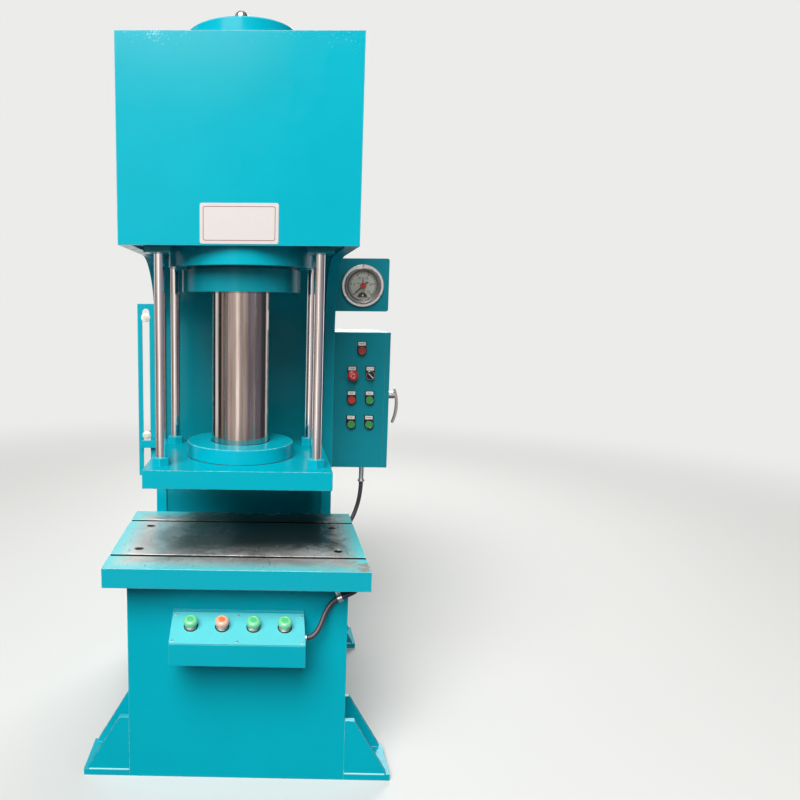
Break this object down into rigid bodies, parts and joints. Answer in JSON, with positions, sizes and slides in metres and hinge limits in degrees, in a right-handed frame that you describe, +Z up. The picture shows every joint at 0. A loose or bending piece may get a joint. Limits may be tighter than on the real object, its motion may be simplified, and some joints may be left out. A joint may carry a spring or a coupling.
{
  "type": "hydraulic press",
  "caption": "Floor-standing C-frame hydraulic press: a chromed ram drives a guided slide plate down to a slotted table; side control box, gauge and two-hand console.",
  "frame": {"origin": "on the floor, under the ram's axis", "axes": "+X to the viewer's right, +Y from front to back, +Z up along the ram's axis"},
  "size_m": [1.0243, 1.1243, 2.212],
  "materials": {
    "paint": "glossy hammered enamel",
    "table_steel": "worn bare top, painted sides",
    "chrome": "hard chrome, ground",
    "steel": "machined",
    "screw_steel": "blackened and plated screws",
    "bronze": "turned bronze",
    "nickel": "nickel plated",
    "black_plastic": "matt",
    "white_face": "matt white",
    "grey_plastic": "PVC sheath on a steel spiral",
    "black_face": "satin black",
    "window": "clear",
    "red": "glossy",
    "green": "glossy",
    "motor_paint": "grey enamel",
    "sheet_grey": "powder coated"
  },
  "bodies": {
    "frame": {"side_plate_left": "paint", "side_plate_right": "paint", "head_front_cover": "paint", "head_top_plate": "paint", "cylinder_mount_plate": "paint", "throat_wall": "paint", "back_plate": "paint", "base_front_panel": "paint", "base_floor_plate": "paint", "table_support": "paint", "label_plate": "white_face", "bolster_table": "table_steel", "feet": "paint", "cylinder_barrel": "paint", "cylinder_cap": "paint", "filler_plug": "nickel", "gland_ring": "paint", "gland_bush": "bronze", "guide_bushes": "paint", "frame_screws": "screw_steel", "switch_rail": "paint", "proximity_sensors": "nickel", "gauge_plate": "paint", "gauge_case": "black_face", "gauge_ring": "nickel", "gauge_dial": "white_face", "gauge_glass": "window", "control_box": "paint", "operator_bezels": "black_plastic", "pilot_lamp": "red", "console_box": "paint", "console_panel": "paint", "button_collars": "nickel", "conduit": "grey_plastic", "conduit_fittings": "steel", "oil_tank": "sheet_grey", "pump_motor": "motor_paint", "valve_block": "steel"},
    "slide": {"ram": "chrome", "piston": "steel", "ram_flange": "paint", "slide_plate": "paint", "guide_rods": "chrome", "rod_nuts": "paint", "trip_arm": "paint", "slide_screws": "screw_steel"},
    "box_door": {"box_door": "paint"},
    "latch_handle": {"latch_handle": "nickel"},
    "rear_door": {"rear_door": "paint"},
    "gauge_pointer": {"gauge_pointer": "black_face"},
    "estop_button": {"estop_button": "red"},
    "selector_knob": {"selector_knob": "black_plastic"},
    "stop_button": {"stop_button": "red"},
    "start_button": {"start_button": "green"},
    "up_button": {"up_button": "green"},
    "down_button": {"down_button": "green"},
    "palm_button_1": {"palm_button_1": "green"},
    "palm_button_2": {"palm_button_2": "red"},
    "palm_button_3": {"palm_button_3": "green"},
    "palm_button_4": {"palm_button_4": "green"}
  },
  "joints": [
    {"name": "ram_slide", "type": "slide", "parent": "frame", "child": "slide", "axis": [0, 0, 1], "range_m": [-0.065, 0.435]},
    {"name": "box_door_hinge", "type": "hinge", "parent": "frame", "child": "box_door", "pos_m": [0.50475, 0.757, 1.0765], "axis": [0, 0, 1], "range_deg": [0, 115]},
    {"name": "latch_turn", "type": "hinge", "parent": "box_door", "child": "latch_handle", "pos_m": [0.523, 0.43, 1.093], "axis": [1, 0, 0], "range_deg": [0, 90]},
    {"name": "rear_door_hinge", "type": "hinge", "parent": "frame", "child": "rear_door", "pos_m": [-0.252, 0.798, 0.43], "axis": [0, 0, 1], "range_deg": [0, 110]},
    {"name": "gauge_pointer_turn", "type": "hinge", "parent": "frame", "child": "gauge_pointer", "pos_m": [0.416, 0.385, 1.487], "axis": [0, 1, 0], "range_deg": [0, 270]},
    {"name": "selector_turn", "type": "hinge", "parent": "frame", "child": "selector_knob", "pos_m": [0.453, 0.38, 1.169], "axis": [0, 1, 0], "range_deg": [0, 90]},
    {"name": "estop_push", "type": "slide", "parent": "frame", "child": "estop_button", "axis": [0, 1, 0], "range_m": [0, 0.004]},
    {"name": "stop_push", "type": "slide", "parent": "frame", "child": "stop_button", "axis": [0, 1, 0], "range_m": [0, 0.004], "stiffness_N_per_m": 1000, "springref_m": -0.001},
    {"name": "start_push", "type": "slide", "parent": "frame", "child": "start_button", "axis": [0, 1, 0], "range_m": [0, 0.004], "stiffness_N_per_m": 1000, "springref_m": -0.001},
    {"name": "up_push", "type": "slide", "parent": "frame", "child": "up_button", "axis": [0, 1, 0], "range_m": [0, 0.004], "stiffness_N_per_m": 1000, "springref_m": -0.001},
    {"name": "down_push", "type": "slide", "parent": "frame", "child": "down_button", "axis": [0, 1, 0], "range_m": [0, 0.004], "stiffness_N_per_m": 1000, "springref_m": -0.001},
    {"name": "palm_1_push", "type": "slide", "parent": "frame", "child": "palm_button_1", "axis": [0, 0.3987, -0.9171], "range_m": [0, 0.005], "stiffness_N_per_m": 1500, "springref_m": -0.001},
    {"name": "palm_2_push", "type": "slide", "parent": "frame", "child": "palm_button_2", "axis": [0, 0.3987, -0.9171], "range_m": [0, 0.005], "stiffness_N_per_m": 1500, "springref_m": -0.001},
    {"name": "palm_3_push", "type": "slide", "parent": "frame", "child": "palm_button_3", "axis": [0, 0.3987, -0.9171], "range_m": [0, 0.005], "stiffness_N_per_m": 1500, "springref_m": -0.001},
    {"name": "palm_4_push", "type": "slide", "parent": "frame", "child": "palm_button_4", "axis": [0, 0.3987, -0.9171], "range_m": [0, 0.005], "stiffness_N_per_m": 1500, "springref_m": -0.001}
  ]
}
